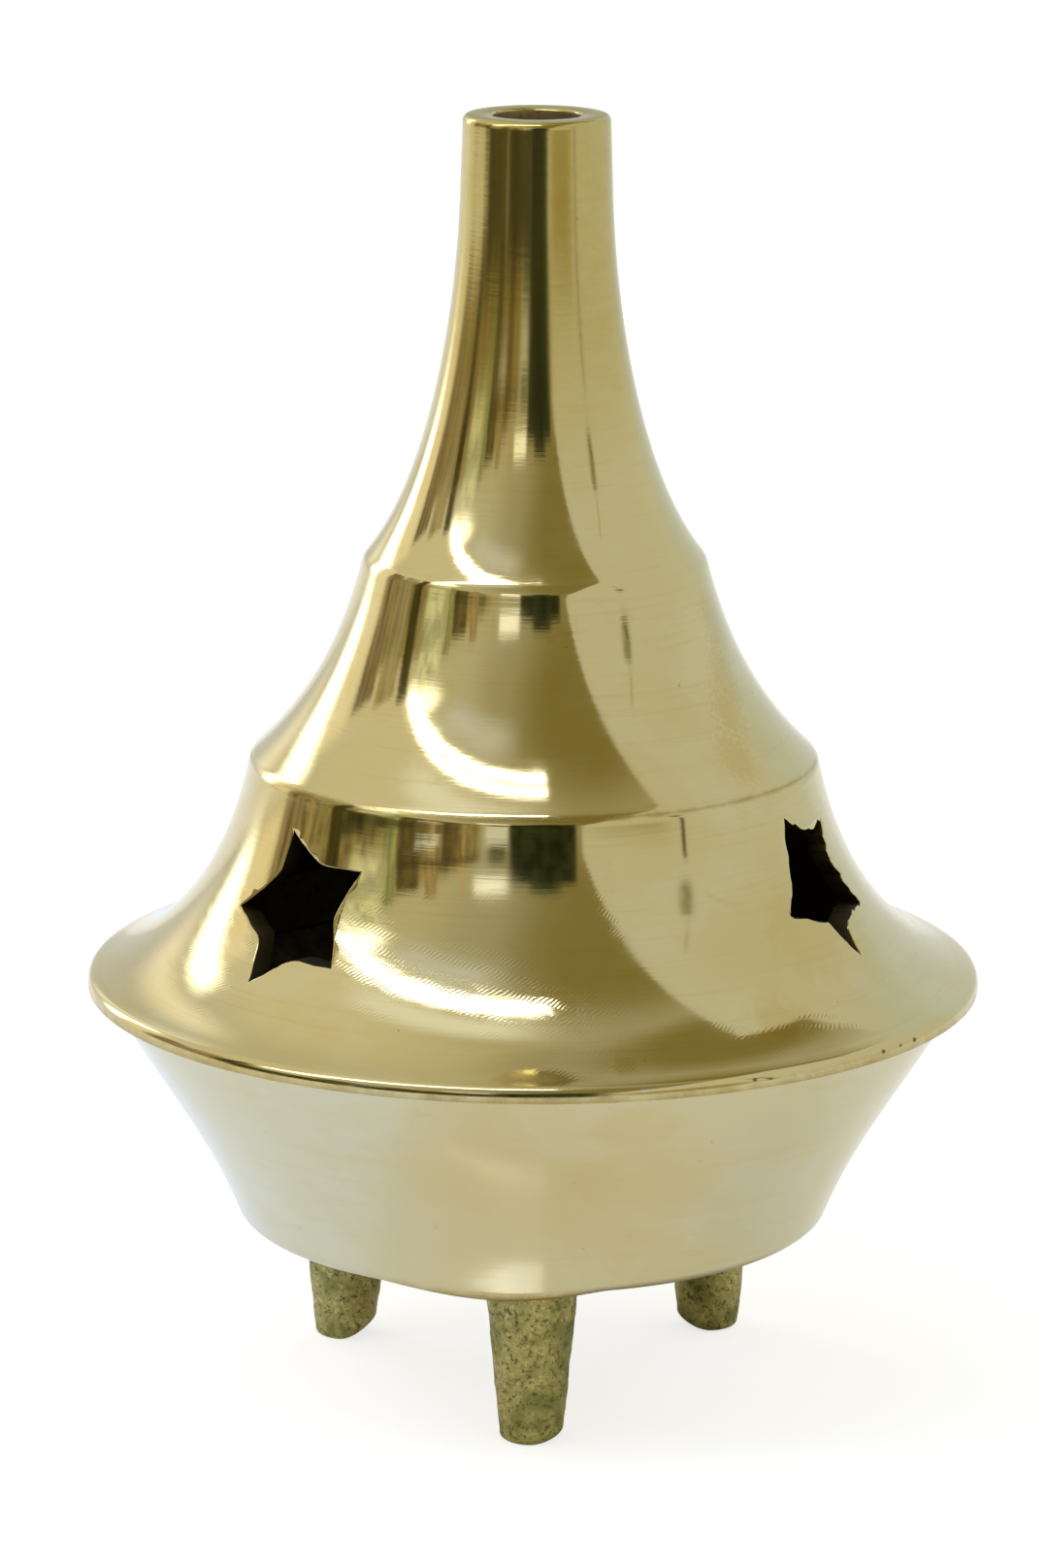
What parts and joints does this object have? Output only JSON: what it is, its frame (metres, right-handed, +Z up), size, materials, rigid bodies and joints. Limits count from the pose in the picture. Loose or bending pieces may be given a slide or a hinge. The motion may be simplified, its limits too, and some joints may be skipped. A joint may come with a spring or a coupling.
{
  "type": "cone incense burner",
  "caption": "Small brass cone incense burner: a shallow bowl on pegs with a lift-off spire-shaped lid, pierced by star windows and open at its chimney.",
  "frame": {"origin": "on the table, under the axis of the chimney", "axes": "+Z up along the axis of the bowl and the chimney; -Y towards the front foot; +X to the right seen from the front"},
  "size_m": [0.0622, 0.0622, 0.089],
  "materials": {
    "lid_brass": "turned and polished pale brass with fine turning lines and light tarnish",
    "bowl_brass": "turned and polished pale brass, dull inside",
    "cast_brass": "rough as-cast brass, darkened olive brown"
  },
  "bodies": {
    "bowl": {"bowl": "bowl_brass", "foot_front": "cast_brass", "foot_rear_right": "cast_brass", "foot_rear_left": "cast_brass"},
    "lid": {"lid": "lid_brass"}
  },
  "joints": [
    {"name": "lid_lift", "type": "slide", "parent": "bowl", "child": "lid", "axis": [0, 0, 1], "range_m": [0, 0.06]}
  ]
}
